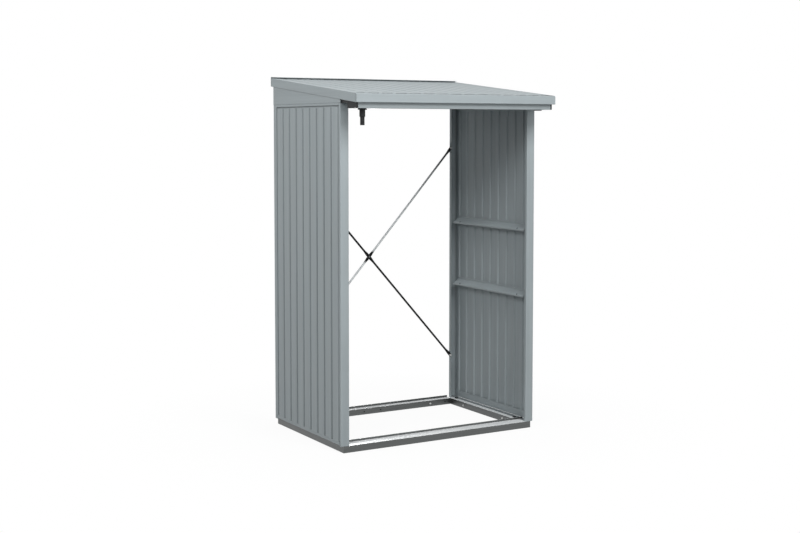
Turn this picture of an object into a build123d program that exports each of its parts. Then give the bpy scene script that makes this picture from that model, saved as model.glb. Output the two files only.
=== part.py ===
from build123d import *
import os
from math import cos, radians, sin, tan

# Log store of folded sheet metal on a low floor frame, open at the front and at the back.
# X runs along the width, Y from front to back and Z up, in millimetres.
# The origin is on the ground, in the middle of the outline seen from above.

# Main sizes
base_width = 1200.0
base_depth = 812.0
wall_overhang = 16.0
wall_top_height = 1830.0
roof_front_rise = 47.0
roof_front_overhang = 185.0
roof_rear_overhang = 23.0
roof_pitch_angle = 5.95

# Clearances
fit_gap = 0.3
cut_overrun = 20.0

# Floor frame: hollow extrusions with a low lip
rail_height = 36.0
rail_wall = 2.5
rail_drain_length = 14.0
rail_drain_width = 5.0
rail_drain_inset = 60.0
sill_depth = 80.0
sill_lip_height = 11.0
side_rail_width = 48.0
rear_rail_width = 42.0
rear_lip_height = 12.0

# Corner posts: folded angles with a lip on the inner edge and a rebate for the cladding
post_width = 50.0
post_sheet = 1.5
post_bend = 3.5
front_post_lip = 18.0
rear_post_lip = 24.0
front_strip_width = 16.0
rear_strip_width = 36.0
rebate_leg = 12.0

# Grooved cladding of the walls and the roof
cladding_sheet = 1.0
groove_depth = 7.0
groove_floor = 10.0
groove_mouth = 20.0
wall_board_count = 9
roof_groove_depth = 3.0
roof_board_spacing = 83.4
roof_edge_board = 25.0

# Edge channels above and below the cladding, and the seals under them
channel_sheet = 1.2
channel_bend = 2.5
wall_foot_height = 40.0
foot_outer_leg = 18.5
foot_inner_leg = 41.0
head_outer_leg = 12.0
head_inner_leg = 28.0
head_shadow_gap = 9.0
foot_seal_lap = 16.0

# Hat-shaped stiffeners inside the walls
stiffener_sheet = 1.2
stiffener_bend = 3.0
stiffener_depth = 42.0
stiffener_face = 37.0
stiffener_nose = 9.0
stiffener_lip = 10.0
lower_stiffener_height = 741.0
upper_stiffener_height = 1118.0

# Gables and cross beams under the roof
gable_sheet = 1.2
gable_bend = 2.5
gable_flange = 26.0
beam_sheet = 1.5
beam_bend = 3.5
beam_depth = 40.0

# Roof edge
fascia_sheet = 1.5
fascia_bend = 3.0
fascia_height = 47.0
fascia_land = 20.0
fascia_standoff = 3.0
fascia_seam = 4.0
front_step = 2.5
rear_upstand = 7.0
rear_land = 24.0
drain_gap = 20.0

# Gutter under the front edge
gutter_sheet = 1.2
gutter_setback = 18.0
gutter_depth = 98.0
gutter_drop = 29.0
gutter_face_lap = 19.0
gutter_end_inset = 16.0
apron_flange = 15.0
apron_bend = 3.0
end_cap_thickness = 10.0
end_cap_headroom = 8.0
end_cap_corner = 4.0

# Hose outlet and the plug of the second outlet
outlet_inset = 50.0
outlet_setback = 67.0
outlet_hole_radius = 12.0
outlet_bore_radius = 9.0
outlet_flange_radius = 23.5
outlet_flange_height = 8.0
outlet_body_radius = 15.0
outlet_body_length = 33.0
outlet_cone_length = 5.0
hose_stub_radius = 11.5
hose_stub_length = 40.0
plug_radius = 22.0
plug_height = 5.0
plug_spigot_length = 4.0

# Cross braces: tubes pressed flat at both ends and where they cross
brace_diameter = 12.0
brace_flat_width = 18.0
brace_flat_thickness = 3.0
brace_eye_length = 27.0
brace_taper_length = 28.0
brace_cross_flat = 44.0
brace_eye_inset = 9.0
brace_end_chamfer = 5.0
brace_side_count = 12
brace_hole_radius = 3.2
brace_notch_height = 64.0
brace_low_height = 296.0
brace_head_drop = 250.0

# Places worked out from the sizes above
wall_side_x = base_width / 2 + wall_overhang
roof_front_height = wall_top_height + roof_front_rise
post_inner_x = wall_side_x - post_width
rebate_x = wall_side_x - groove_depth - cladding_sheet
fascia_inner_x = wall_side_x + fascia_standoff
roof_half_width = fascia_inner_x + fascia_sheet
roof_depth = base_depth + roof_front_overhang + roof_rear_overhang
roof_front_y = -roof_depth / 2
roof_rear_y = roof_depth / 2
base_front_y = roof_front_y + roof_front_overhang
base_rear_y = base_front_y + base_depth
post_front_end_y = base_front_y + front_post_lip
post_rear_end_y = base_rear_y - rear_post_lip
cladding_front_y = base_front_y + front_strip_width
cladding_rear_y = base_rear_y - rear_strip_width
rebate_front_y = cladding_front_y + rebate_leg
rebate_rear_y = cladding_rear_y - rebate_leg
cladding_bottom_z = wall_foot_height + foot_outer_leg
cladding_top_z = wall_top_height - head_outer_leg - head_shadow_gap
wall_board_spacing = (cladding_rear_y - cladding_front_y - groove_floor) / wall_board_count
roof_slope = tan(radians(roof_pitch_angle))
slope_direction = (0, cos(radians(roof_pitch_angle)), sin(radians(roof_pitch_angle)))
roof_normal = (0, -sin(radians(roof_pitch_angle)), cos(radians(roof_pitch_angle)))
land_drop = fascia_sheet / cos(radians(roof_pitch_angle))
sheet_drop = land_drop + roof_groove_depth + cladding_sheet
gutter_front_y = roof_front_y + gutter_setback
gutter_back_y = gutter_front_y + gutter_depth
gutter_half_length = wall_side_x - gutter_end_inset
gutter_floor_height = wall_top_height - gutter_drop
fascia_foot_height = roof_front_height - fascia_height
gutter_face_height = fascia_foot_height + gutter_face_lap - gutter_floor_height
outlet_x = gutter_half_length - outlet_inset
outlet_y = roof_front_y + outlet_setback
brace_eye_x = post_inner_x + brace_eye_inset
brace_high_height = wall_top_height - brace_head_drop


def roof_edge_z(y):
    """Height of the fascia's top edge at the distance y."""
    return roof_front_height + (y - roof_front_y) * roof_slope


def roof_seat_z(y):
    """Height of the groove floors' undersides, where the roof sheet is carried."""
    return roof_edge_z(y) - sheet_drop


def along_slope(span):
    """Length along the roof that covers a level distance."""
    return span / cos(radians(roof_pitch_angle))


def folded_section(points, sheet, bend, plane, side=Side.LEFT):
    """Section of a folded sheet whose outer faces follow the points, with the sheet on the side named.

    A bend of zero leaves the folds sharp.
    """
    with BuildSketch(plane) as section:
        with BuildLine():
            if bend:
                FilletPolyline(*points, radius=bend)
            else:
                Polyline(*points)
            offset(amount=sheet, kind=Kind.INTERSECTION, side=side, closed=True)
        make_face()
    return section.sketch


def groove_outline(centre):
    """Places across one groove: where it opens, its floor's two edges and where it closes."""
    mouth = groove_mouth / 2
    floor = groove_floor / 2
    return centre - mouth, centre - floor, centre + floor, centre + mouth


def mirrored(piece):
    """The same piece on the other side of the store."""
    with BuildPart() as twin:
        mirror(piece.part, about=Plane.YZ)
    return twin


def save(piece, name):
    """Label a finished piece and write it under its own name."""
    piece.part.label = name
    export_step(piece.part, f"parts/{name}.step")


def save_pair(right_piece, name):
    """Write a piece of the right side and its twin of the left side."""
    save(right_piece, f"right_{name}")
    save(mirrored(right_piece), f"left_{name}")


os.makedirs("parts", exist_ok=True)


# Floor frame
def rail_outline(near, far, plane, lip_height):
    """Outside of a rail between two places, with a lip that stands on its far edge."""
    with BuildSketch(plane) as section:
        with Locations((near, 0)):
            Rectangle(far - near, rail_height, align=(Align.MIN, Align.MIN))
        if lip_height:
            with Locations((far, rail_height)):
                Rectangle(rail_wall, lip_height, align=(Align.MAX, Align.MIN))
    return section.sketch


def rail_hollow(near, far, plane):
    """Inside of the same rail, one wall away from its faces."""
    with BuildSketch(plane) as section:
        with Locations((near + rail_wall, rail_wall)):
            size = (far - near - 2 * rail_wall, rail_height - 2 * rail_wall)
            Rectangle(*size, align=(Align.MIN, Align.MIN))
    return section.sketch


def drain_places(near, far):
    """Two places near the ends of a rail where the water leaves it."""
    return near + rail_drain_inset, far - rail_drain_inset


with BuildPart() as front_sill:
    sill_back_y = base_front_y + sill_depth
    sill_plane = Plane.YZ.offset(-base_width / 2)
    extrude(rail_outline(base_front_y, sill_back_y, sill_plane, sill_lip_height), amount=base_width)
    sill_hollow = rail_hollow(base_front_y, sill_back_y, sill_plane.offset(rail_wall))
    extrude(sill_hollow, amount=base_width - 2 * rail_wall, mode=Mode.SUBTRACT)
    for drain_x in drain_places(-base_width / 2, base_width / 2):
        with Locations((drain_x, base_front_y + sill_depth / 2, 0)):
            Box(rail_drain_length, rail_drain_width, 2 * rail_wall, mode=Mode.SUBTRACT)
save(front_sill, "front_sill")

with BuildPart() as right_rail:
    rail_inner_x = base_width / 2 - side_rail_width
    rail_plane = Plane.XZ.offset(-base_rear_y)
    extrude(rail_outline(rail_inner_x, base_width / 2, rail_plane, 0), amount=base_depth - sill_depth)
    core_plane = rail_plane.offset(rail_wall)
    core_length = base_depth - sill_depth - 2 * rail_wall
    extrude(rail_hollow(rail_inner_x, base_width / 2, core_plane), amount=core_length, mode=Mode.SUBTRACT)
    for drain_y in drain_places(sill_back_y, base_rear_y):
        with Locations((rail_inner_x + side_rail_width / 2, drain_y, 0)):
            Box(rail_drain_width, rail_drain_length, 2 * rail_wall, mode=Mode.SUBTRACT)
save_pair(right_rail, "rail")

with BuildPart() as rear_rail:
    rear_rail_y = base_rear_y - rear_rail_width
    rear_plane = Plane.YZ.offset(-rail_inner_x)
    extrude(rail_outline(rear_rail_y, base_rear_y, rear_plane, rear_lip_height), amount=2 * rail_inner_x)
    rear_hollow = rail_hollow(rear_rail_y, base_rear_y, rear_plane.offset(rail_wall))
    extrude(rear_hollow, amount=2 * rail_inner_x - 2 * rail_wall, mode=Mode.SUBTRACT)
    for drain_x in drain_places(-rail_inner_x, rail_inner_x):
        with Locations((drain_x, rear_rail_y + rear_rail_width / 2, 0)):
            Box(rail_drain_length, rail_drain_width, 2 * rail_wall, mode=Mode.SUBTRACT)
save(rear_rail, "rear_rail")

# Corner posts
post_height = wall_top_height - rail_height
post_foot = Plane.XY.offset(rail_height)

with BuildPart() as right_front_post:
    front_post_points = [
        (post_inner_x, post_front_end_y),
        (post_inner_x, base_front_y),
        (wall_side_x, base_front_y),
        (wall_side_x, cladding_front_y),
        (rebate_x, cladding_front_y),
        (rebate_x, rebate_front_y),
    ]
    extrude(folded_section(front_post_points, post_sheet, post_bend, post_foot), amount=post_height)
save_pair(right_front_post, "front_post")

with BuildPart() as right_rear_post:
    rear_post_points = [
        (post_inner_x, post_rear_end_y),
        (post_inner_x, base_rear_y),
        (wall_side_x, base_rear_y),
        (wall_side_x, cladding_rear_y),
        (rebate_x, cladding_rear_y),
        (rebate_x, rebate_rear_y),
    ]
    rear_section = folded_section(rear_post_points, post_sheet, post_bend, post_foot, Side.RIGHT)
    extrude(rear_section, amount=post_height)
    bolt_plane = Plane.XZ.offset(-base_rear_y)
    with BuildSketch(bolt_plane):
        with Locations((brace_eye_x, brace_low_height), (brace_eye_x, brace_high_height)):
            Circle(brace_hole_radius)
    extrude(amount=cut_overrun, both=True, mode=Mode.SUBTRACT)
    for eye_height in (brace_low_height, brace_high_height):
        with Locations((post_inner_x + post_bend, base_rear_y - post_sheet, eye_height)):
            eye_notch = (Align.MAX, Align.MAX, Align.CENTER)
            Box(2 * post_bend, 2 * rear_post_lip, brace_notch_height, align=eye_notch, mode=Mode.SUBTRACT)
save_pair(right_rear_post, "rear_post")

# Wall cladding: upright boards with narrow grooves between them
with BuildPart() as right_wall_panel:
    groove_x = wall_side_x - groove_depth
    panel_points = [(groove_x, cladding_front_y + post_bend + fit_gap)]
    for board in range(wall_board_count):
        near_groove = cladding_front_y + groove_floor / 2 + board * wall_board_spacing
        far_groove = near_groove + wall_board_spacing
        panel_points.append((groove_x, groove_outline(near_groove)[2]))
        panel_points.append((wall_side_x, groove_outline(near_groove)[3]))
        panel_points.append((wall_side_x, groove_outline(far_groove)[0]))
        panel_points.append((groove_x, groove_outline(far_groove)[1]))
    panel_points.append((groove_x, cladding_rear_y - post_bend - fit_gap))
    panel_plane = Plane.XY.offset(cladding_bottom_z)
    panel_section = folded_section(panel_points, cladding_sheet, 0, panel_plane)
    extrude(panel_section, amount=cladding_top_z - cladding_bottom_z)
save_pair(right_wall_panel, "wall_panel")

# Edge channels: the outer leg shows between the posts' strips, the inner leg ends at their rebates
channel_plane = Plane.XZ.offset(-cladding_front_y - fit_gap)
channel_length = cladding_rear_y - cladding_front_y - 2 * fit_gap


def clear_of_posts(bottom, top):
    """Two blocks that cut a channel's inner leg and web away where the posts' rebates are."""
    height = top - bottom + 2 * cut_overrun
    middle = (bottom + top) / 2
    near = Pos(rebate_x + post_bend, cladding_front_y, middle)
    far = Pos(rebate_x + post_bend, cladding_rear_y, middle)
    front_block = near * Box(post_width, rebate_leg, height, align=(Align.MAX, Align.MIN, Align.CENTER))
    rear_block = far * Box(post_width, rebate_leg, height, align=(Align.MAX, Align.MAX, Align.CENTER))
    return front_block, rear_block


foot_cutters = clear_of_posts(wall_foot_height, wall_foot_height + foot_inner_leg)
with BuildPart() as right_foot_channel:
    leg_x = rebate_x - channel_sheet
    foot_points = [
        (leg_x, wall_foot_height + foot_inner_leg),
        (leg_x, wall_foot_height),
        (wall_side_x, wall_foot_height),
        (wall_side_x, wall_foot_height + foot_outer_leg),
    ]
    foot_section = folded_section(foot_points, channel_sheet, channel_bend, channel_plane)
    extrude(foot_section, amount=channel_length, dir=(0, 1, 0))
    add(foot_cutters, mode=Mode.SUBTRACT)
save_pair(right_foot_channel, "foot_channel")

head_cutters = clear_of_posts(wall_top_height - head_inner_leg, wall_top_height)
with BuildPart() as right_head_channel:
    head_points = [
        (wall_side_x, wall_top_height - head_outer_leg),
        (wall_side_x, wall_top_height),
        (leg_x, wall_top_height),
        (leg_x, wall_top_height - head_inner_leg),
    ]
    head_section = folded_section(head_points, channel_sheet, channel_bend, channel_plane)
    extrude(head_section, amount=channel_length, dir=(0, 1, 0))
    add(head_cutters, mode=Mode.SUBTRACT)
save_pair(right_head_channel, "head_channel")

# Foot seals: strips that close the gap between the side rails and the walls
with BuildPart() as right_foot_seal:
    seal_inner_x = base_width / 2 - foot_seal_lap
    seal_outer_x = rebate_x - post_sheet - fit_gap
    seal_rear_y = base_rear_y - post_sheet - fit_gap
    with BuildSketch(Plane.XZ.offset(-sill_back_y)):
        with Locations((seal_inner_x, rail_height)):
            seal_size = (seal_outer_x - seal_inner_x, wall_foot_height - rail_height)
            Rectangle(*seal_size, align=(Align.MIN, Align.MIN))
    extrude(amount=seal_rear_y - sill_back_y, dir=(0, 1, 0))
save_pair(right_foot_seal, "foot_seal")


# Stiffeners: hat sections that lie on the cladding's inner ridges, with a short nose and a sloping top
def stiffener(face_bottom):
    """Hat section between the posts' rebates, with its underside at the given height."""
    web_x = rebate_x - stiffener_depth + stiffener_sheet
    low = face_bottom + stiffener_sheet
    high = face_bottom + stiffener_face - stiffener_sheet
    points = [
        (rebate_x, low - stiffener_lip),
        (rebate_x, low),
        (web_x, low),
        (web_x, low + stiffener_nose),
        (rebate_x, high),
        (rebate_x, high + stiffener_lip),
    ]
    with BuildPart() as hat:
        hat_plane = Plane.XZ.offset(-rebate_front_y)
        hat_length = rebate_rear_y - rebate_front_y
        hat_section = folded_section(points, stiffener_sheet, stiffener_bend, hat_plane)
        extrude(hat_section, amount=hat_length, dir=(0, 1, 0))
    return hat


save_pair(stiffener(lower_stiffener_height), "lower_stiffener")
save_pair(stiffener(upper_stiffener_height), "upper_stiffener")

# Gables: sheets that close the wedge between wall and roof
roof_seat = Plane(origin=(0, 0, roof_seat_z(0)), x_dir=(1, 0, 0), z_dir=roof_normal)

beam_half_length = wall_side_x - gable_sheet - fit_gap
front_beam_back_y = base_front_y + beam_depth
rear_beam_front_y = base_rear_y - beam_depth

with BuildPart() as right_gable:
    gable_points = [
        (wall_side_x - gable_flange, wall_top_height),
        (wall_side_x, wall_top_height),
        (wall_side_x, roof_edge_z(roof_rear_y)),
    ]
    gable_plane = Plane.XZ.offset(-base_front_y)
    gable_section = folded_section(gable_points, gable_sheet, gable_bend, gable_plane)
    extrude(gable_section, amount=base_depth, dir=(0, 1, 0))
    split(bisect_by=roof_seat, keep=Keep.BOTTOM)
    with BuildSketch(Plane.XY.offset(wall_top_height)):
        with Locations((wall_side_x - gable_sheet, base_front_y)):
            Rectangle(gable_flange, beam_depth + fit_gap, align=(Align.MAX, Align.MIN))
        with Locations((wall_side_x - gable_sheet, base_rear_y)):
            Rectangle(gable_flange, beam_depth + fit_gap, align=(Align.MAX, Align.MAX))
    extrude(amount=cut_overrun, mode=Mode.SUBTRACT)
save_pair(right_gable, "gable")

# Cross beams: channels that lie on the posts and carry the roof sheet
beam_plane = Plane.YZ.offset(-beam_half_length)

with BuildPart() as front_beam:
    front_beam_points = [
        (front_beam_back_y, roof_seat_z(front_beam_back_y)),
        (base_front_y, roof_seat_z(base_front_y)),
        (base_front_y, wall_top_height),
        (front_beam_back_y, wall_top_height),
    ]
    front_beam_section = folded_section(front_beam_points, beam_sheet, beam_bend, beam_plane)
    extrude(front_beam_section, amount=2 * beam_half_length)
save(front_beam, "front_beam")

with BuildPart() as rear_beam:
    rear_beam_points = [
        (rear_beam_front_y, wall_top_height),
        (base_rear_y, wall_top_height),
        (base_rear_y, roof_seat_z(base_rear_y)),
        (rear_beam_front_y, roof_seat_z(rear_beam_front_y)),
    ]
    rear_beam_section = folded_section(rear_beam_points, beam_sheet, beam_bend, beam_plane)
    extrude(rear_beam_section, amount=2 * beam_half_length)
save(rear_beam, "rear_beam")

# Roof sheet: the same grooved cladding, with the grooves along the slope
sheet_half_width = roof_half_width - fascia_bend - fit_gap
land_y = roof_front_y + fascia_land
sheet_front_y = land_y + drain_gap
sheet_rear_y = roof_rear_y - fascia_sheet - fit_gap

with BuildPart() as roof_sheet:
    board_z = roof_edge_z(sheet_front_y) - land_drop
    groove_z = board_z - roof_groove_depth
    roof_points = [(sheet_half_width, board_z)]
    edge_room = sheet_half_width - roof_edge_board - roof_board_spacing / 2
    groove_pairs = int(edge_room // roof_board_spacing) + 1
    for groove in range(groove_pairs - 1, -groove_pairs - 1, -1):
        centre = groove * roof_board_spacing + roof_board_spacing / 2
        far_mouth, far_floor, near_floor, near_mouth = groove_outline(centre)
        roof_points.append((near_mouth, board_z))
        roof_points.append((near_floor, groove_z))
        roof_points.append((far_floor, groove_z))
        roof_points.append((far_mouth, board_z))
    roof_points.append((-sheet_half_width, board_z))
    sheet_plane = Plane.XZ.offset(-sheet_front_y)
    sheet_length = along_slope(sheet_rear_y - sheet_front_y)
    roof_section = folded_section(roof_points, cladding_sheet, 0, sheet_plane)
    extrude(roof_section, amount=sheet_length, dir=slope_direction)
save(roof_sheet, "roof_sheet")

# Roof edge: folded fascias whose lands lap over the sheet
edge_plane = Plane.YZ.offset(-roof_half_width)


def end_reliefs(y, z, side):
    """Blocks that shorten a fascia's folds so that the side fascias pass behind its face."""
    align_y = Align.MIN if side > 0 else Align.MAX
    blocks = []
    for end, align_x in ((-1, Align.MAX), (1, Align.MIN)):
        place = Pos(end * (fascia_inner_x - fit_gap), y, z)
        size = (cut_overrun, roof_front_overhang, 2 * fascia_height)
        blocks.append(place * Box(*size, align=(align_x, align_y, Align.MAX)))
    return blocks


front_reliefs = end_reliefs(roof_front_y + fascia_sheet, roof_edge_z(land_y), 1)
with BuildPart() as front_fascia:
    front_fascia_points = [
        (land_y, roof_edge_z(land_y) - front_step),
        (roof_front_y, roof_edge_z(roof_front_y) - front_step),
        (roof_front_y, fascia_foot_height),
        (gutter_front_y, fascia_foot_height),
    ]
    front_fascia_section = folded_section(front_fascia_points, fascia_sheet, fascia_bend, edge_plane)
    extrude(front_fascia_section, amount=2 * roof_half_width)
    add(front_reliefs, mode=Mode.SUBTRACT)
save(front_fascia, "front_fascia")

rear_land_y = roof_rear_y - rear_land
rear_foot_z = roof_edge_z(roof_rear_y) - fascia_height
rear_reliefs = end_reliefs(roof_rear_y - fascia_sheet, roof_edge_z(roof_rear_y), -1)
with BuildPart() as rear_fascia:
    rear_fascia_points = [
        (base_rear_y, rear_foot_z),
        (roof_rear_y, rear_foot_z),
        (roof_rear_y, roof_edge_z(roof_rear_y) + rear_upstand),
        (rear_land_y, roof_edge_z(rear_land_y) + rear_upstand),
    ]
    rear_fascia_section = folded_section(rear_fascia_points, fascia_sheet, fascia_bend, edge_plane)
    extrude(rear_fascia_section, amount=2 * roof_half_width)
    add(rear_reliefs, mode=Mode.SUBTRACT)
save(rear_fascia, "rear_fascia")

side_start_y = roof_front_y + fascia_sheet + fascia_seam
side_end_y = roof_rear_y - fascia_sheet - fascia_seam
land_start_y = land_y + fit_gap
notch_place = Pos(roof_half_width - fascia_sheet, land_start_y, roof_edge_z(land_start_y))
notch_size = fascia_land + cut_overrun
notch_side = (Align.MAX, Align.MAX, Align.CENTER)
corner_notch = notch_place * Box(notch_size, notch_size, fascia_height, align=notch_side)

with BuildPart() as right_fascia:
    side_top_z = roof_edge_z(side_start_y)
    side_points = [
        (roof_half_width, side_top_z - fascia_height),
        (roof_half_width, side_top_z),
        (roof_half_width - fascia_land, side_top_z),
    ]
    side_plane = Plane.XZ.offset(-side_start_y)
    side_length = along_slope(side_end_y - side_start_y)
    side_section = folded_section(side_points, fascia_sheet, fascia_bend, side_plane)
    extrude(side_section, amount=side_length, dir=slope_direction)
    add(corner_notch, mode=Mode.SUBTRACT)
save_pair(right_fascia, "fascia")

# Gutter: a trough of three joined sheets under the drain gap, and the apron back to the front beam
gutter_plane = Plane.YZ.offset(-gutter_half_length)
trough_front_y = gutter_front_y + gutter_sheet
trough_back_y = gutter_back_y - gutter_sheet


def gutter_sheet_piece(near_y, far_y, height):
    """One straight sheet of the gutter, from end to end, that stands on the floor's level."""
    with BuildPart() as piece:
        with BuildSketch(gutter_plane):
            with Locations((near_y, gutter_floor_height)):
                Rectangle(far_y - near_y, height, align=(Align.MIN, Align.MIN))
        extrude(amount=2 * gutter_half_length)
    return piece


save(gutter_sheet_piece(gutter_front_y, trough_front_y, gutter_face_height), "gutter_face")
save(gutter_sheet_piece(trough_back_y, gutter_back_y, wall_top_height - gutter_floor_height), "gutter_back")

with BuildPart() as gutter_floor:
    add(gutter_sheet_piece(trough_front_y, trough_back_y, gutter_sheet).part)
    with Locations((-outlet_x, outlet_y, gutter_floor_height), (outlet_x, outlet_y, gutter_floor_height)):
        Cylinder(outlet_hole_radius, gutter_sheet + cut_overrun, mode=Mode.SUBTRACT)
save(gutter_floor, "gutter_floor")

with BuildPart() as gutter_apron:
    apron_points = [
        (trough_back_y, wall_top_height),
        (base_front_y, wall_top_height),
        (base_front_y, wall_top_height + apron_flange),
    ]
    apron_section = folded_section(apron_points, gutter_sheet, apron_bend, gutter_plane)
    extrude(apron_section, amount=2 * gutter_half_length)
save(gutter_apron, "gutter_apron")

with BuildPart() as right_gutter_cap:
    with BuildSketch(Plane.YZ.offset(gutter_half_length)):
        with BuildLine():
            Polyline(
                (gutter_front_y, gutter_floor_height),
                (gutter_back_y, gutter_floor_height),
                (gutter_back_y, wall_top_height),
                (base_front_y, wall_top_height),
                (base_front_y, roof_edge_z(base_front_y) - end_cap_headroom),
                (gutter_front_y, roof_edge_z(gutter_front_y) - end_cap_headroom),
                close=True,
            )
        make_face()
    extrude(amount=end_cap_thickness)
    fillet(right_gutter_cap.edges().filter_by(Axis.X).group_by(Axis.Z)[0], end_cap_corner)
save_pair(right_gutter_cap, "gutter_cap")

# Hose outlet at the left and the plug that closes the outlet at the right
outlet_axis = Axis((-outlet_x, outlet_y, 0), (0, 0, 1))
plug_axis = Axis((outlet_x, outlet_y, 0), (0, 0, 1))

with BuildPart() as outlet_stub:
    flange_foot = -outlet_flange_height
    body_foot = flange_foot - outlet_body_length
    stub_head = body_foot - outlet_cone_length
    stub_foot = stub_head - hose_stub_length
    stub_plane = Plane(origin=(-outlet_x, outlet_y, gutter_floor_height), x_dir=(1, 0, 0), z_dir=(0, -1, 0))
    with BuildSketch(stub_plane):
        with BuildLine():
            Polyline(
                (outlet_bore_radius, 0),
                (outlet_flange_radius, 0),
                (outlet_flange_radius, flange_foot),
                (outlet_body_radius, flange_foot),
                (outlet_body_radius, body_foot),
                (hose_stub_radius, stub_head),
                (hose_stub_radius, stub_foot),
                (outlet_bore_radius, stub_foot),
                close=True,
            )
        make_face()
    revolve(axis=outlet_axis)
save(outlet_stub, "outlet_stub")

with BuildPart() as outlet_plug:
    spigot_radius = outlet_hole_radius - fit_gap
    plug_plane = Plane(origin=(outlet_x, outlet_y, gutter_floor_height), x_dir=(1, 0, 0), z_dir=(0, -1, 0))
    with BuildSketch(plug_plane):
        with BuildLine():
            Polyline(
                (0, plug_spigot_length),
                (spigot_radius, plug_spigot_length),
                (spigot_radius, 0),
                (plug_radius, 0),
                (plug_radius, -plug_height),
                (0, -plug_height),
                close=True,
            )
        make_face()
    revolve(axis=plug_axis)
save(outlet_plug, "outlet_plug")


# Cross braces between the rear posts, each eye flat on a post's rear web
def pressed_section(plane, width, thickness):
    """Many-sided section of a tube that is pressed from round towards flat."""
    turns = [radians(360 * side / brace_side_count) for side in range(brace_side_count)]
    with BuildSketch(plane) as section:
        Polygon(*((width / 2 * cos(turn), thickness / 2 * sin(turn)) for turn in turns), align=None)
    return section.sketch


def brace(rise, cross_offset):
    """One brace, rising to the right by the signed height, its middle set back by the offset."""
    half = Vector(brace_eye_x, 0, rise / 2)
    direction = half.normalized()
    across = Vector(0, 1, 0).cross(direction)
    flat_y = base_rear_y - post_sheet - brace_flat_thickness / 2
    middle = Vector(0, flat_y + cross_offset, (brace_low_height + brace_high_height) / 2)
    end_shift = Vector(0, -cross_offset, 0)

    def station(distance, shift):
        """Cross-section plane at a distance along the brace from its middle."""
        return Plane(origin=middle + direction * distance + shift, x_dir=across, z_dir=direction)

    def flat_end(centre):
        """Plane in which an eye or the flat of the crossing is drawn."""
        return Plane(origin=centre - Vector(0, brace_flat_thickness / 2, 0), x_dir=direction, z_dir=(0, 1, 0))

    still = Vector(0, 0, 0)
    tip_reach = half.length + brace_flat_width / 2
    eye_reach = half.length - brace_eye_length
    tube_outer = eye_reach - brace_taper_length
    tube_inner = brace_cross_flat / 2 + brace_taper_length
    with BuildPart() as tube:
        with BuildSketch(flat_end(middle)):
            Rectangle(brace_cross_flat, brace_flat_width)
        extrude(amount=brace_flat_thickness)
        for side in (-1, 1):
            inner_flat = pressed_section(
                station(side * brace_cross_flat / 2, still), brace_flat_width, brace_flat_thickness
            )
            inner_round = pressed_section(station(side * tube_inner, still), brace_diameter, brace_diameter)
            loft([inner_flat, inner_round], ruled=True)
            with BuildSketch(station(side * tube_inner, still)):
                Circle(brace_diameter / 2)
            extrude(amount=side * (tube_outer - tube_inner))
            outer_round = pressed_section(station(side * tube_outer, still), brace_diameter, brace_diameter)
            outer_flat = pressed_section(
                station(side * eye_reach, end_shift), brace_flat_width, brace_flat_thickness
            )
            loft([outer_round, outer_flat], ruled=True)
            with BuildSketch(flat_end(middle + end_shift)) as eye:
                with Locations((side * (eye_reach + tip_reach) / 2, 0)):
                    Rectangle(tip_reach - eye_reach, brace_flat_width)
                tip_corners = eye.vertices().sort_by(Axis.X, reverse=side > 0)[:2]
                chamfer(tip_corners, brace_end_chamfer)
                with Locations((side * half.length, 0)):
                    Circle(brace_hole_radius, mode=Mode.SUBTRACT)
            extrude(amount=brace_flat_thickness)
    return tube


brace_rise = brace_high_height - brace_low_height
save(brace(brace_rise, 0), "rising_brace")
save(brace(-brace_rise, brace_flat_thickness), "falling_brace")
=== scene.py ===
import math

import bmesh
import bpy
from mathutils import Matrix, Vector


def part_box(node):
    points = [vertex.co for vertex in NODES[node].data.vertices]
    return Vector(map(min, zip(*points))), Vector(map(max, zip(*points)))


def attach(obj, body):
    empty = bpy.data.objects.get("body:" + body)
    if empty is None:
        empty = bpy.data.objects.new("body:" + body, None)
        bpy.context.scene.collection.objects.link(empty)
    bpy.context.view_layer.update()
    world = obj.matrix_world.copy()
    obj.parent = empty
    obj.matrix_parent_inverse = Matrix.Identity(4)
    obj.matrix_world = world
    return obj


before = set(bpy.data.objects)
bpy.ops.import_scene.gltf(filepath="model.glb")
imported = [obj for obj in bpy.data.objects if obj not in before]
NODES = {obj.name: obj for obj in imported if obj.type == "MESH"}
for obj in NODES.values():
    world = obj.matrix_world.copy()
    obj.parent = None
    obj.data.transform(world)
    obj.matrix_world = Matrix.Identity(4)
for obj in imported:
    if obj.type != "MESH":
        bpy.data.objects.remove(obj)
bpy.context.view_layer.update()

MM = 0.001
SIDES = (-1, 1)

# Colours as they look on screen under plain light
COAT = (158, 167, 170)
# The bright metal is also the rails' painted lit tops; the dark metal is the rails' sides in painted shade
BRIGHT_METAL = (232, 234, 235)
SHADED_RAIL_SIDE = (96, 98, 98)
# Zinc tones: the lightest is the braces' zinc where lit; the three below it stand for the same zinc in
# painted shade on the braces, and the middle one is also a bolt's own colour
ZINC_LIGHT = (196, 199, 200)
ZINC_HALF_SHADED = (168, 170, 171)
ZINC_DULL_AND_SHADE = (113, 115, 116)
ZINC_SHADED = (36, 37, 38)
BLACK_PLASTIC = (27, 29, 30)
BOLT_ZINC = (206, 207, 206)
BLACK_OXIDE = (38, 39, 40)

# Height in metres over which the tones of a zinc coat are spread
TALLEST = 2.0
# Heights at which the rising brace changes tone: painted shade makes its pressed crossing dark and darkens
# its upper end
RISING_TONES = [(0.904, ZINC_LIGHT), (0.912, ZINC_SHADED), (0.964, ZINC_SHADED), (0.972, ZINC_LIGHT),
                (1.28, ZINC_LIGHT), (1.41, ZINC_HALF_SHADED), (1.5, ZINC_DULL_AND_SHADE), (1.57, ZINC_SHADED)]


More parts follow.
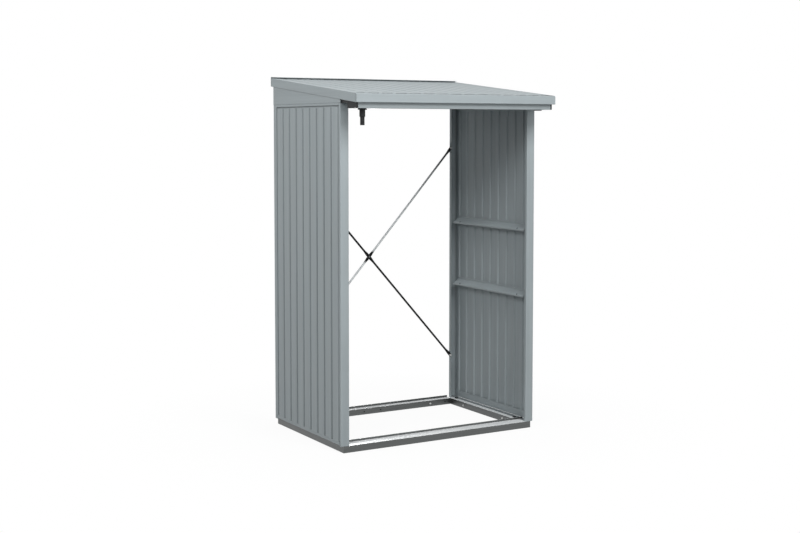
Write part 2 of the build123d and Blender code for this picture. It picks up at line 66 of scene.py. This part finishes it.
def linear(colour, gain=1.0):
    """Screen colour as the linear colour that a shader socket takes."""
    parts = []
    for value in colour:
        share = value / 255
        parts.append(gain * (share / 12.92 if share <= 0.04045 else ((share + 0.055) / 1.055) ** 2.4))
    return (*parts, 1.0)


# Shader building
WHITE = (1.0, 1.0, 1.0, 1.0)
# Sockets of a mix node that is set to colours
MIX_FACTOR, MIX_FIRST, MIX_SECOND, MIX_RESULT = 0, 6, 7, 2
# Range that holds most values of a noise
NOISE_LOW, NOISE_HIGH = 0.3, 0.7
BEVEL_SAMPLES, CREVICE_SAMPLES = 6, 8
# Openness of a deep crevice and of a flat
CREVICE, FLAT = 0.6, 0.93
# Likeness of the rounded and the true normal on a flat and on a fold
FLAT_LIKENESS, FOLD_LIKENESS = 0.99, 0.8
# Upward part of a normal at which a face begins to count as a top, and counts fully
TOP_BEGINS, TOP_FULL = 0.6, 0.9
# Softness, in metres, of the change from inward to outward faces
SIDE_CHANGE = 0.05


def shader_node(tree, kind, inputs=None, **settings):
    """Add a node, set its settings, and set or link its inputs."""
    made = tree.nodes.new(kind)
    for key, value in settings.items():
        setattr(made, key, value)
    for key, value in (inputs or {}).items():
        if isinstance(value, bpy.types.NodeSocket):
            tree.links.new(value, made.inputs[key])
        else:
            made.inputs[key].default_value = value
    return made


def empty_tree(block):
    """Node tree of a material or a world, with nothing in it."""
    block.use_nodes = True
    block.node_tree.nodes.clear()
    return block.node_tree


def new_material(name, **sockets):
    """A material with one principled shader whose plain values are set on its own sockets."""
    material = bpy.data.materials.new(name)
    tree = empty_tree(material)
    plain = {key.replace("_", " "): value for key, value in sockets.items()}
    shader = shader_node(tree, "ShaderNodeBsdfPrincipled", plain)
    shader_node(tree, "ShaderNodeOutputMaterial", {"Surface": shader.outputs["BSDF"]})
    return material, tree, shader


def true_normal(tree):
    """Normal of the surface itself."""
    return shader_node(tree, "ShaderNodeNewGeometry").outputs["Normal"]


def own_place(tree):
    """Place in the object's own metres."""
    return shader_node(tree, "ShaderNodeTexCoord").outputs["Object"]


def axis_part(tree, vector, axis):
    """One part of a vector, named by its axis."""
    return shader_node(tree, "ShaderNodeSeparateXYZ", {"Vector": vector}).outputs[axis]


def stretched_noise(tree, scale, detail=2.0, roughness=0.5):
    """Noise over the object's own metres, with a scale for each axis."""
    mapping = {"Vector": own_place(tree), "Scale": scale}
    mapped = shader_node(tree, "ShaderNodeMapping", mapping).outputs["Vector"]
    settings = {"Vector": mapped, "Scale": 1.0, "Detail": detail, "Roughness": roughness}
    return shader_node(tree, "ShaderNodeTexNoise", settings).outputs["Fac"]


def even_noise(tree, scale, detail):
    """Noise over the object's own metres, with one scale for all axes."""
    return stretched_noise(tree, (scale, scale, scale), detail)


def ramp(tree, factor, stops):
    """Colour ramp with the given places and linear colours."""
    made = shader_node(tree, "ShaderNodeValToRGB", {"Fac": factor})
    elements = made.color_ramp.elements
    while len(elements) < len(stops):
        elements.new(1.0)
    for element, (place, colour) in zip(elements, stops):
        element.position = place
        element.color = colour
    return made.outputs["Color"]


def varied(tree, noise, colour, least, most):
    """A screen colour that a noise varies between two gains."""
    return ramp(tree, noise, [(NOISE_LOW, linear(colour, least)), (NOISE_HIGH, linear(colour, most))])


def mix_colour(tree, factor, first, second, blend="MIX"):
    """Mix of two colours, which may be sockets or plain values."""
    inputs = {MIX_FACTOR: factor, MIX_FIRST: first, MIX_SECOND: second}
    return shader_node(tree, "ShaderNodeMix", inputs, data_type="RGBA", blend_type=blend).outputs[MIX_RESULT]


def spread(tree, value, low, high, out_low, out_high):
    """Value moved from one range to another and kept inside it."""
    limits = {"Value": value, "From Min": low, "From Max": high, "To Min": out_low, "To Max": out_high}
    return shader_node(tree, "ShaderNodeMapRange", limits).outputs["Result"]


def noise_spread(tree, noise, out_low, out_high):
    """Noise moved to a range."""
    return spread(tree, noise, NOISE_LOW, NOISE_HIGH, out_low, out_high)


def soft_edges(tree, radius):
    """Normal that rounds the folds by the given radius."""
    return shader_node(tree, "ShaderNodeBevel", {"Radius": radius}, samples=BEVEL_SAMPLES).outputs["Normal"]


def edge_mask(tree, rounded):
    """One near the folds and zero on the flats, from how far the rounded normal leaves the true one."""
    normals = {0: rounded, 1: true_normal(tree)}
    alike = shader_node(tree, "ShaderNodeVectorMath", normals, operation="DOT_PRODUCT").outputs["Value"]
    return spread(tree, alike, FLAT_LIKENESS, FOLD_LIKENESS, 0.0, 1.0)


def crevice_shade(tree, reach, depth):
    """Painted shade: a factor that falls in a sheet's own grooves and folds narrower than the reach, as shade
    falls in them.
    """
    settings = {"samples": CREVICE_SAMPLES, "only_local": True}
    openness = shader_node(tree, "ShaderNodeAmbientOcclusion", {"Distance": reach}, **settings).outputs["AO"]
    return spread(tree, openness, CREVICE, FLAT, 1.0 - depth, 1.0)


def outer_side(tree):
    """One on faces that look away from the store's middle sideways, zero on those that look inwards."""
    geometry = shader_node(tree, "ShaderNodeNewGeometry")
    facing = axis_part(tree, geometry.outputs["Normal"], "X")
    place = axis_part(tree, geometry.outputs["Position"], "X")
    product = shader_node(tree, "ShaderNodeMath", {0: facing, 1: place}, operation="MULTIPLY")
    return spread(tree, product.outputs["Value"], -SIDE_CHANGE, SIDE_CHANGE, 0.0, 1.0)


def top_side(tree):
    """One on faces that look up, zero on the others."""
    return spread(tree, axis_part(tree, true_normal(tree), "Z"), TOP_BEGINS, TOP_FULL, 0.0, 1.0)


def bump(tree, height, strength, depth, normal):
    """Bump of the given depth in metres over a normal."""
    inputs = {"Height": height, "Strength": strength, "Distance": depth, "Normal": normal}
    return shader_node(tree, "ShaderNodeBump", inputs).outputs["Normal"]


# Materials. Edges are radii in metres, gains and ranges are pairs of the least and the most,
# and a bump is its strength and its depth in metres.
# The reach below is how far the painted shade in grooves and seams spreads
SHEET_EDGE, CREVICE_SHADE_REACH = 1.6 * MM, 14 * MM
SHEET_MOTTLE, SHEET_ROUGHNESS = (0.96, 1.03), (0.42, 0.56)
SHEET_PEEL = (0.08, 0.3 * MM)
# Lightening of the folds towards bright metal: partly wear, partly painted highlight
FOLD_BRIGHTEN_SHARE, FOLD_BRIGHTEN_GAIN = 0.25, 0.75
CLEAR_COAT, CLEAR_COAT_ROUGHNESS = 0.08, 0.35

RAIL_EDGE = 1.2 * MM
RAIL_SIDE_GAINS, RAIL_TOP_GAINS = (0.85, 1.15), (1.1, 1.18)
RAIL_SIDE_METAL, RAIL_TOP_METAL = 0.9, 0.1
RAIL_ROUGHNESS = (0.32, 0.42)

CRYSTALS_PER_METRE = 260.0
CRYSTAL_RANGE, CRYSTAL_GAINS = (0.2, 0.8), (0.92, 1.05)
CRYSTAL_BUMP = (0.03, 0.1 * MM)
PATCH_SPREAD = 0.2

PLASTIC_EDGE = 0.8 * MM
PLASTIC_CHALK = ((0.35, 0.85), (0.75, 1.25))
PLASTIC_ROUGHNESS = (0.4, 0.55)
PLASTIC_GRAIN = (0.2, 0.15 * MM)

RUBBER_EDGE = 0.5 * MM
RUBBER_ROUGHNESS = 0.7
RUBBER_SIDE_GAIN, RUBBER_TOP_GAINS = 0.45, (0.6, 0.75)
BLACK_SHINE = 0.2


def coated_sheet(name, streak_scale, tone=1.0, streak=0.045, shine=0.4, painted_shading=0.35, shade_outside_only=False):
    """Baked coat on rolled steel: streaks, faint mottling, orange peel, folds lightened as wear and as
    painted highlight, painted shade in the grooves and seams.
    """
    plain = {"Coat_Weight": CLEAR_COAT, "Coat_Roughness": CLEAR_COAT_ROUGHNESS, "Specular_IOR_Level": shine}
    material, tree, shader = new_material(name, **plain)
    streaks = stretched_noise(tree, streak_scale, detail=3.0)
    mottle = even_noise(tree, 5.0, detail=5.0)
    peel = even_noise(tree, 700.0, detail=1.0)
    rolled = varied(tree, streaks, COAT, tone * (1.0 - streak), tone * (1.0 + streak))
    mottled = mix_colour(tree, 1.0, rolled, noise_spread(tree, mottle, *SHEET_MOTTLE), "MULTIPLY")
    # Painted shade darkens the grooves and folds; when the inside is kept plain, only outward faces get it
    shade = crevice_shade(tree, CREVICE_SHADE_REACH, painted_shading)
    if shade_outside_only:
        shade = mix_colour(tree, outer_side(tree), WHITE, shade)
    coat = mix_colour(tree, 1.0, mottled, shade, "MULTIPLY")
    rounded = soft_edges(tree, SHEET_EDGE)
    # Folds lightened as wear and as painted highlight along the bends
    worn_and_highlit = spread(tree, edge_mask(tree, rounded), 0.0, 1.0, 0.0, FOLD_BRIGHTEN_SHARE)
    colour = mix_colour(tree, worn_and_highlit, coat, linear(BRIGHT_METAL, FOLD_BRIGHTEN_GAIN))
    tree.links.new(colour, shader.inputs["Base Color"])
    tree.links.new(noise_spread(tree, mottle, *SHEET_ROUGHNESS), shader.inputs["Roughness"])
    tree.links.new(bump(tree, peel, *SHEET_PEEL, rounded), shader.inputs["Normal"])
    return material


def rail_metal(name, line_scale):
    """Extruded rail with painted light: top faces painted bright and satin, sides painted dark as shade,
    drawing lines along the rail.
    """
    material, tree, shader = new_material(name)
    lines = stretched_noise(tree, line_scale, detail=4.0, roughness=0.6)
    cloud = even_noise(tree, 9.0, detail=4.0)
    upward = top_side(tree)
    # Painted light: the sides take a dark shaded colour and the tops a bright lit one
    side = varied(tree, lines, SHADED_RAIL_SIDE, *RAIL_SIDE_GAINS)
    top = varied(tree, lines, BRIGHT_METAL, *RAIL_TOP_GAINS)
    metal = spread(tree, upward, 0.0, 1.0, RAIL_SIDE_METAL, RAIL_TOP_METAL)
    tree.links.new(mix_colour(tree, upward, side, top), shader.inputs["Base Color"])
    tree.links.new(metal, shader.inputs["Metallic"])
    tree.links.new(noise_spread(tree, cloud, *RAIL_ROUGHNESS), shader.inputs["Roughness"])
    tree.links.new(soft_edges(tree, RAIL_EDGE), shader.inputs["Normal"])
    return material


def even_tone(colour):
    """Tones of a zinc coat that doesn't change with height."""
    return [(0.0, colour), (TALLEST, colour)]


def galvanised(name, tones, dullest=0.5, metal=1.0):
    """Zinc coat with a fine spangle of crystals and dull patches, in tones given with their heights, which on
    the braces are painted light and shade.
    """
    material, tree, shader = new_material(name, Metallic=metal)
    place = own_place(tree)
    cells = {"Vector": place, "Scale": CRYSTALS_PER_METRE}
    crystals = shader_node(tree, "ShaderNodeTexVoronoi", cells).outputs["Color"]
    grey = shader_node(tree, "ShaderNodeRGBToBW", {"Color": crystals}).outputs["Val"]
    cloud = even_noise(tree, 40.0, detail=4.0)
    share = spread(tree, axis_part(tree, place, "Z"), 0.0, TALLEST, 0.0, 1.0)
    # Tones by height: on the rising brace they are painted shade towards its top and at its crossing
    tone_with_painted_shade = ramp(tree, share, [(level / TALLEST, linear(colour)) for level, colour in tones])
    glitter = spread(tree, grey, *CRYSTAL_RANGE, *CRYSTAL_GAINS)
    roughness = noise_spread(tree, cloud, dullest - PATCH_SPREAD, dullest)
    tree.links.new(mix_colour(tree, 1.0, tone_with_painted_shade, glitter, "MULTIPLY"), shader.inputs["Base Color"])
    tree.links.new(roughness, shader.inputs["Roughness"])
    tree.links.new(bump(tree, grey, *CRYSTAL_BUMP, true_normal(tree)), shader.inputs["Normal"])
    return material


def moulded_plastic(name, colour):
    """Moulded plastic with a fine eroded grain and slightly chalky patches."""
    material, tree, shader = new_material(name, Specular_IOR_Level=BLACK_SHINE)
    grain = even_noise(tree, 900.0, detail=2.0)
    cloud = even_noise(tree, 30.0, detail=4.0)
    chalk = ramp(tree, cloud, [(place, linear(colour, gain)) for place, gain in PLASTIC_CHALK])
    rounded = soft_edges(tree, PLASTIC_EDGE)
    tree.links.new(chalk, shader.inputs["Base Color"])
    tree.links.new(noise_spread(tree, cloud, *PLASTIC_ROUGHNESS), shader.inputs["Roughness"])
    tree.links.new(bump(tree, grain, *PLASTIC_GRAIN, rounded), shader.inputs["Normal"])
    return material


def two_tone_rubber(name):
    """Black rubber painted in two tones: its upper face grey like the coat, its sides darker as painted shade
    of the gap under the foot channel.
    """
    plain = {"Roughness": RUBBER_ROUGHNESS, "Specular_IOR_Level": BLACK_SHINE}
    material, tree, shader = new_material(name, **plain)
    cloud = stretched_noise(tree, (60.0, 12.0, 60.0), detail=4.0)
    # Painted shade: the sides are darker than the grey top, as the gap beside them is in shade
    painted_shading = varied(tree, cloud, COAT, *RUBBER_TOP_GAINS)
    colour = mix_colour(tree, top_side(tree), linear(COAT, RUBBER_SIDE_GAIN), painted_shading)
    tree.links.new(colour, shader.inputs["Base Color"])
    tree.links.new(soft_edges(tree, RUBBER_EDGE), shader.inputs["Normal"])
    return material


def dress(material, *names):
    """Give CAD nodes a finished material."""
    for name in names:
        for slot in NODES[name].material_slots:
            slot.material = material


def both(*stems):
    """Names of the left and the right node of each stem."""
    return [side + stem for stem in stems for side in ("left_", "right_")]


# Scales of the rolling streaks and of the rails' finer drawing lines, by their direction
UPRIGHT = (45.0, 45.0, 1.2)
ALONG_X = (1.2, 45.0, 45.0)
ALONG_Y = (45.0, 1.2, 45.0)
LINES_ALONG_X = (2.0, 300.0, 300.0)
LINES_ALONG_Y = (300.0, 2.0, 300.0)
BRACE_DULLEST = 0.7

# The walls get deep painted shade in their grooves, on their outer faces only; the roof gets a faint one
dress(coated_sheet("wall_coat", UPRIGHT, painted_shading=0.75, shade_outside_only=True), *both("wall_panel"))
dress(coated_sheet("post_coat", UPRIGHT), *both("front_post", "rear_post"))
dress(coated_sheet("roof_coat", ALONG_Y, tone=0.95, streak=0.008, shine=0.2, painted_shading=0.12), "roof_sheet")
dress(coated_sheet("side_fold_coat", ALONG_Y), *both("fascia", "gable", "foot_channel", "head_channel"))
dress(coated_sheet("stiffener_coat", ALONG_Y), *both("lower_stiffener", "upper_stiffener"))
dress(coated_sheet("cross_fold_coat", ALONG_X), "front_fascia", "rear_fascia", "front_beam", "rear_beam")
# The gutter's coat is painted darker, as shade under the fascia
gutter_shaded_coat = coated_sheet("gutter_shaded_coat", ALONG_X, tone=0.8)
dress(gutter_shaded_coat, "gutter_face", "gutter_floor", "gutter_back", "gutter_apron")
dress(rail_metal("cross_rail_metal", LINES_ALONG_X), "front_sill", "rear_rail")
dress(rail_metal("side_rail_metal", LINES_ALONG_Y), *both("rail"))
# The braces are one zinc: the falling brace is painted dark all over as shade, the rising one dark in
# stretches as shade
dress(galvanised("rising_brace_zinc_with_shade", RISING_TONES, BRACE_DULLEST), "rising_brace")
dress(galvanised("falling_brace_shaded_zinc", even_tone(ZINC_SHADED), BRACE_DULLEST), "falling_brace")
black_moulding = moulded_plastic("black_moulding", BLACK_PLASTIC)
dress(black_moulding, *both("gutter_cap"), "outlet_stub", "outlet_plug")
seal_rubber = two_tone_rubber("seal_rubber")
dress(seal_rubber, *both("foot_seal"))


# Pieces that the CAD leaves to the scene
def new_object(name, data):
    """An object with the given data, in the scene."""
    made = bpy.data.objects.new(name, data)
    bpy.context.scene.collection.objects.link(made)
    return made


def new_piece(name, mesh_maker, material):
    """A mesh that rides on the store and takes the given material."""
    grid = bmesh.new()
    mesh_maker(grid)
    bmesh.ops.recalc_face_normals(grid, faces=grid.faces)
    mesh = bpy.data.meshes.new(name)
    grid.to_mesh(mesh)
    grid.free()
    mesh.materials.append(material)
    piece = new_object(name, mesh)
    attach(piece, "root")


def join_rings(grid, rings, smooth):
    """Skin over rings of points, closed at both ends."""
    loops = [[grid.verts.new(point) for point in ring] for ring in rings]
    for near, far in zip(loops, loops[1:]):
        for index in range(len(near)):
            after = (index + 1) % len(near)
            face = grid.faces.new((near[index], near[after], far[after], far[index]))
            face.smooth = smooth
    grid.faces.new(loops[0])
    grid.faces.new(loops[-1])


def stepped_block(grid, foot, half_x, half_y, steps):
    """Block on a level foot, from pairs of inset and rise in metres."""
    rings = []
    for inset, rise in steps:
        reach_x, reach_y = half_x - inset, half_y - inset
        corners = ((-reach_x, -reach_y), (reach_x, -reach_y), (reach_x, reach_y), (-reach_x, reach_y))
        rings.append([(foot[0] + x, foot[1] + y, foot[2] + rise) for x, y in corners])
    join_rings(grid, rings, False)


# Profiles of fixings, in pairs of radius and height as shares of the fixing's size
WASHER = ((1, 0), (1.05, 0.05), (1.05, 0.2), (1, 0.25))
HEX_HEAD = ((0.92, 0.25), (0.92, 0.75), (0.78, 0.9))
PAN_HEAD = ((1, 0), (1, 0.25), (0.85, 0.5), (0.5, 0.62), (0.42, 0.62), (0.36, 0.3))
WASHER_SIDES, HEX_SIDES, PAN_SIDES = 32, 6, 24


def turned(grid, place, outward, profile, size, sides, smooth=True):
    """Turned or many-sided body on an axis, from a profile and a size in millimetres."""
    axis = Vector(outward).normalized()
    across = axis.orthogonal().normalized()
    third = axis.cross(across)
    rings = []
    for radius_share, height_share in profile:
        radius, height = radius_share * size, height_share * size
        ring = []
        for side in range(sides):
            turn = math.tau * side / sides
            arm = across * math.cos(turn) + third * math.sin(turn)
            ring.append(Vector(place) + arm * radius * MM + axis * height * MM)
        rings.append(ring)
    join_rings(grid, rings, smooth)


def hex_bolt(grid, place, outward, size):
    """Hexagon head on a washer whose end radius is the size in millimetres."""
    turned(grid, place, outward, WASHER, size, WASHER_SIDES)
    turned(grid, place, outward, HEX_HEAD, size, HEX_SIDES, smooth=False)


def pan_screw(grid, place, outward, size):
    """Domed screw head with a driver recess, whose radius is the size in millimetres."""
    turned(grid, place, outward, PAN_HEAD, size, PAN_SIDES)


# Fixings of the floor frame, in millimetres: from the middle of the rear rail, from the front along the sides
ANCHOR_SIZE, SCREW_SIZE = 6.0, 4.0
REAR_ANCHORS, REAR_SCREWS = (405,), (56, 512, 540)
SIDE_ANCHORS, SIDE_SCREWS = (209, 623), (104, 744)
FRAME_FIXING_HEIGHT = 17 * MM


def frame_fixings(grid, head, size, rear_places, side_places):
    """Heads on the inner faces of the rear and side rails."""
    rear_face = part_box("rear_rail")[0].y
    side_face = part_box("right_rail")[0].x
    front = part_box("front_sill")[0].y
    for side in SIDES:
        for across in rear_places:
            head(grid, (side * across * MM, rear_face, FRAME_FIXING_HEIGHT), (0, -1, 0), size)
        for along in side_places:
            head(grid, (side * side_face, front + along * MM, FRAME_FIXING_HEIGHT), (-side, 0, 0), size)


def anchor_bolts(grid):
    """Bolts that hold the floor frame down."""
    frame_fixings(grid, hex_bolt, ANCHOR_SIZE, REAR_ANCHORS, SIDE_ANCHORS)


def frame_screws(grid):
    """Screws that join the rails."""
    frame_fixings(grid, pan_screw, SCREW_SIZE, REAR_SCREWS, SIDE_SCREWS)


# Places of the braces' eyes and thicknesses of the sheets there, as the part has them
BRACE_REACH, BRACE_LOW, BRACE_HIGH = 575 * MM, 296 * MM, 1580 * MM
BRACE_FLAT, POST_SHEET = 3 * MM, 1.5 * MM
BRACE_BOLT_SIZE = 7.5


def brace_bolts(grid):
    """Heads on both sides of the braces' eyes and the rear posts."""
    post_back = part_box("right_rear_post")[1].y
    eye_front = post_back - POST_SHEET - BRACE_FLAT
    for x in (-BRACE_REACH, BRACE_REACH):
        for z in (BRACE_LOW, BRACE_HIGH):
            hex_bolt(grid, (x, eye_front, z), (0, -1, 0), BRACE_BOLT_SIZE)
            hex_bolt(grid, (x, post_back, z), (0, 1, 0), BRACE_BOLT_SIZE)


def crossing_bolt(grid):
    """Heads on both sides of the braces' crossing."""
    eye_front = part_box("right_rear_post")[1].y - POST_SHEET - BRACE_FLAT
    middle = (BRACE_LOW + BRACE_HIGH) / 2
    hex_bolt(grid, (0, eye_front, middle), (0, -1, 0), ANCHOR_SIZE)
    hex_bolt(grid, (0, eye_front + 2 * BRACE_FLAT, middle), (0, 1, 0), ANCHOR_SIZE)


STIFFENER_SCREW_INSET = 69 * MM
STIFFENER_SCREW_RISE, STIFFENER_SCREW_DEPTH = 22.1 * MM, 4 * MM
# Inward and upward part of the normal of the stiffeners' sloping top
STIFFENER_SLOPE = (0.531, 0.847)


def stiffener_screws(grid):
    """One screw near each end of the stiffeners, low on the sloping top."""
    inward, upward = STIFFENER_SLOPE
    for stem in ("lower_stiffener", "upper_stiffener"):
        low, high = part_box("right_" + stem)
        height = low.z + STIFFENER_SCREW_RISE
        for along in (low.y + STIFFENER_SCREW_INSET, high.y - STIFFENER_SCREW_INSET):
            for side in SIDES:
                place = (side * (low.x + STIFFENER_SCREW_DEPTH), along, height)
                pan_screw(grid, place, (-side * inward, 0, upward), SCREW_SIZE)


CLIP_LENGTH, CLIP_WIDTH, CLIP_HEIGHT, CLIP_CHAMFER = 23 * MM, 10 * MM, 7 * MM, 1.5 * MM
# Millimetres from the front
CLIP_PLACES = (127, 744)


def shade_dot_clips(grid):
    """Moulded clips on the side rails, against the inner edges of the foot seals, black as painted shade
    where dark spots of shade show at the seals' ends.
    """
    rail_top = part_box("right_rail")[1].z
    seal_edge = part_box("right_foot_seal")[0].x
    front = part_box("front_sill")[0].y
    steps = ((0, 0), (0, CLIP_HEIGHT - CLIP_CHAMFER), (CLIP_CHAMFER, CLIP_HEIGHT))
    for side in SIDES:
        for along in CLIP_PLACES:
            foot = (side * (seal_edge - CLIP_WIDTH / 2), front + along * MM, rail_top)
            stepped_block(grid, foot, CLIP_WIDTH / 2, CLIP_LENGTH / 2, steps)


# Depth of the front posts' inner lip, as the part has it
POST_LIP = 18 * MM
SEAL_END_INSET, SEAL_END_CHAMFER = 3 * MM, 0.5 * MM


def seal_ends(grid):
    """Short strips that carry the foot seals on over the front sill, between its lip and the posts."""
    low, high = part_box("right_foot_seal")
    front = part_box("right_front_post")[0].y + POST_LIP + SEAL_END_INSET
    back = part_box("front_sill")[1].y - SEAL_END_INSET
    middle_x, middle_y = (low.x + high.x) / 2, (front + back) / 2
    half_x, half_y = (high.x - low.x) / 2, (back - front) / 2
    thickness = high.z - low.z
    steps = ((0, 0), (0, thickness - SEAL_END_CHAMFER), (SEAL_END_CHAMFER, thickness))
    for side in SIDES:
        stepped_block(grid, (side * middle_x, middle_y, low.z), half_x, half_y, steps)


bolt_zinc = galvanised("bolt_zinc", even_tone(BOLT_ZINC), metal=0.3)
dull_zinc = galvanised("dull_zinc", even_tone(ZINC_DULL_AND_SHADE))
black_screw = galvanised("black_screw", even_tone(BLACK_OXIDE))
new_piece("anchor_bolts", anchor_bolts, bolt_zinc)
new_piece("frame_screws", frame_screws, black_screw)
new_piece("brace_bolts", brace_bolts, bolt_zinc)
new_piece("crossing_bolt", crossing_bolt, dull_zinc)
new_piece("stiffener_screws", stiffener_screws, black_screw)
# Black clips put where the seals' ends show dark spots of shade
new_piece("shade_dot_clips", shade_dot_clips, black_moulding)
new_piece("seal_ends", seal_ends, seal_rubber)


# Light, floor and camera
WORLD_LIGHT = {"Color": (0.97, 0.99, 1.0, 1.0), "Strength": 0.3}
WORLD_BACKDROP = {"Color": WHITE, "Strength": 1.0}

# Metres, but for the colours and the glow: the share of plain white near the store, full from GLOW_FAR on
FLOOR_REACH, FLOOR_DROP = 60.0, 0.5 * MM
FLOOR_BOUNCE, FLOOR_SHADED = (0.25, 0.25, 0.25, 1.0), (0.9, 0.9, 0.9, 1.0)
GLOW_NEAR, GLOW_FAR, GLOW_LEAST = 0.8, 1.8, 0.94

# Name, place, aim, power in watts and width in metres
LAMPS = (
    ("key", (0.1, -4.0, 4.6), (0.0, 0.0, 1.0), 140.0, 2.4),
    ("corner_key", (-4.0, -3.0, 4.0), (0.0, 0.0, 1.0), 87.0, 2.0),
    ("front_fill", (0.4, -5.2, 1.9), (0.0, 0.0, 1.1), 48.0, 2.0),
    ("left_fill", (-3.4, 0.2, 2.8), (0.0, 0.0, 1.0), 24.0, 2.0),
    ("right_fill", (4.0, 1.2, 2.6), (0.0, 0.0, 1.0), 40.0, 2.4),
    ("rear_fill", (1.6, 4.6, 1.2), (0.0, 0.0, 1.1), 40.0, 1.4),
    ("top_fill", (0.0, 0.2, 5.5), (0.0, 0.0, 1.0), 15.0, 3.0),
)

# Camera at the photograph's viewing angle: metres, degrees, millimetres and shares of the picture
CAMERA_PLACE = (-3.7613, -6.3254, 1.6964)
CAMERA_YAW, CAMERA_PITCH = 30.271, 3.907
CAMERA_LENS, CAMERA_SHIFT = 59.062, -0.06
CAMERA_RANGE = 200.0


def seen_directly(tree):
    """One for rays from the camera and for mirrored or refracted rays, zero for scattered light."""
    rays = shader_node(tree, "ShaderNodeLightPath").outputs
    sharp = {0: rays["Is Glossy Ray"], 1: rays["Is Transmission Ray"]}
    mirrored = shader_node(tree, "ShaderNodeMath", sharp, operation="MAXIMUM").outputs[0]
    seen = {0: rays["Is Camera Ray"], 1: mirrored}
    return shader_node(tree, "ShaderNodeMath", seen, operation="MAXIMUM").outputs[0]


def mixed_shader(tree, factor, first, second):
    """Mix of the first outputs of two shaders."""
    inputs = {"Fac": factor, 1: first.outputs[0], 2: second.outputs[0]}
    return shader_node(tree, "ShaderNodeMixShader", inputs)


def white_world():
    """White surroundings that light the object at a lower level than they are seen."""
    world = bpy.data.worlds.new("studio")
    bpy.context.scene.world = world
    tree = empty_tree(world)
    light = shader_node(tree, "ShaderNodeBackground", WORLD_LIGHT)
    backdrop = shader_node(tree, "ShaderNodeBackground", WORLD_BACKDROP)
    choice = mixed_shader(tree, seen_directly(tree), light, backdrop)
    shader_node(tree, "ShaderNodeOutputWorld", {"Surface": choice.outputs[0]})


def white_floor():
    """White floor that keeps a faint shadow and throws back only part of the light."""
    mesh = bpy.data.meshes.new("floor")
    corners = [(x * FLOOR_REACH, y * FLOOR_REACH, 0) for x, y in ((-1, -1), (1, -1), (1, 1), (-1, 1))]
    mesh.from_pydata(corners, [], [(0, 1, 2, 3)])
    floor = new_object("floor", mesh)
    floor.location.z = -FLOOR_DROP
    material = bpy.data.materials.new("floor_white")
    tree = empty_tree(material)
    dull = shader_node(tree, "ShaderNodeBsdfDiffuse", {"Color": FLOOR_BOUNCE})
    shaded = shader_node(tree, "ShaderNodeBsdfDiffuse", {"Color": FLOOR_SHADED})
    white = shader_node(tree, "ShaderNodeEmission", {"Color": WHITE, "Strength": 1.0})
    distance = shader_node(tree, "ShaderNodeVectorMath", {0: own_place(tree)}, operation="LENGTH")
    glow = spread(tree, distance.outputs["Value"], GLOW_NEAR, GLOW_FAR, GLOW_LEAST, 1.0)
    paper = mixed_shader(tree, glow, shaded, white)
    choice = mixed_shader(tree, seen_directly(tree), dull, paper)
    shader_node(tree, "ShaderNodeOutputMaterial", {"Surface": choice.outputs[0]})
    mesh.materials.append(material)


def softbox(name, place, aim, power, size):
    """Large soft lamp that shines from a place towards a point."""
    lamp = bpy.data.lights.new(name, "AREA")
    lamp.energy = power
    lamp.shape = "DISK"
    lamp.size = size
    box = new_object(name, lamp)
    box.location = place
    box.rotation_euler = (Vector(place) - Vector(aim)).to_track_quat("Z", "Y").to_euler()


def make_camera():
    """Camera that looks along its yaw and pitch."""
    yaw, pitch = math.radians(CAMERA_YAW), math.radians(CAMERA_PITCH)
    forward = Vector((math.sin(yaw) * math.cos(pitch), math.cos(yaw) * math.cos(pitch), -math.sin(pitch)))
    data = bpy.data.cameras.new("camera")
    data.lens = CAMERA_LENS
    data.shift_y = CAMERA_SHIFT
    data.clip_end = CAMERA_RANGE
    camera = new_object("camera", data)
    camera.location = CAMERA_PLACE
    camera.rotation_euler = forward.to_track_quat("-Z", "Y").to_euler()
    bpy.context.scene.camera = camera


white_world()
white_floor()
for lamp in LAMPS:
    softbox(*lamp)
make_camera()
bpy.context.scene.view_settings.view_transform = "Standard"
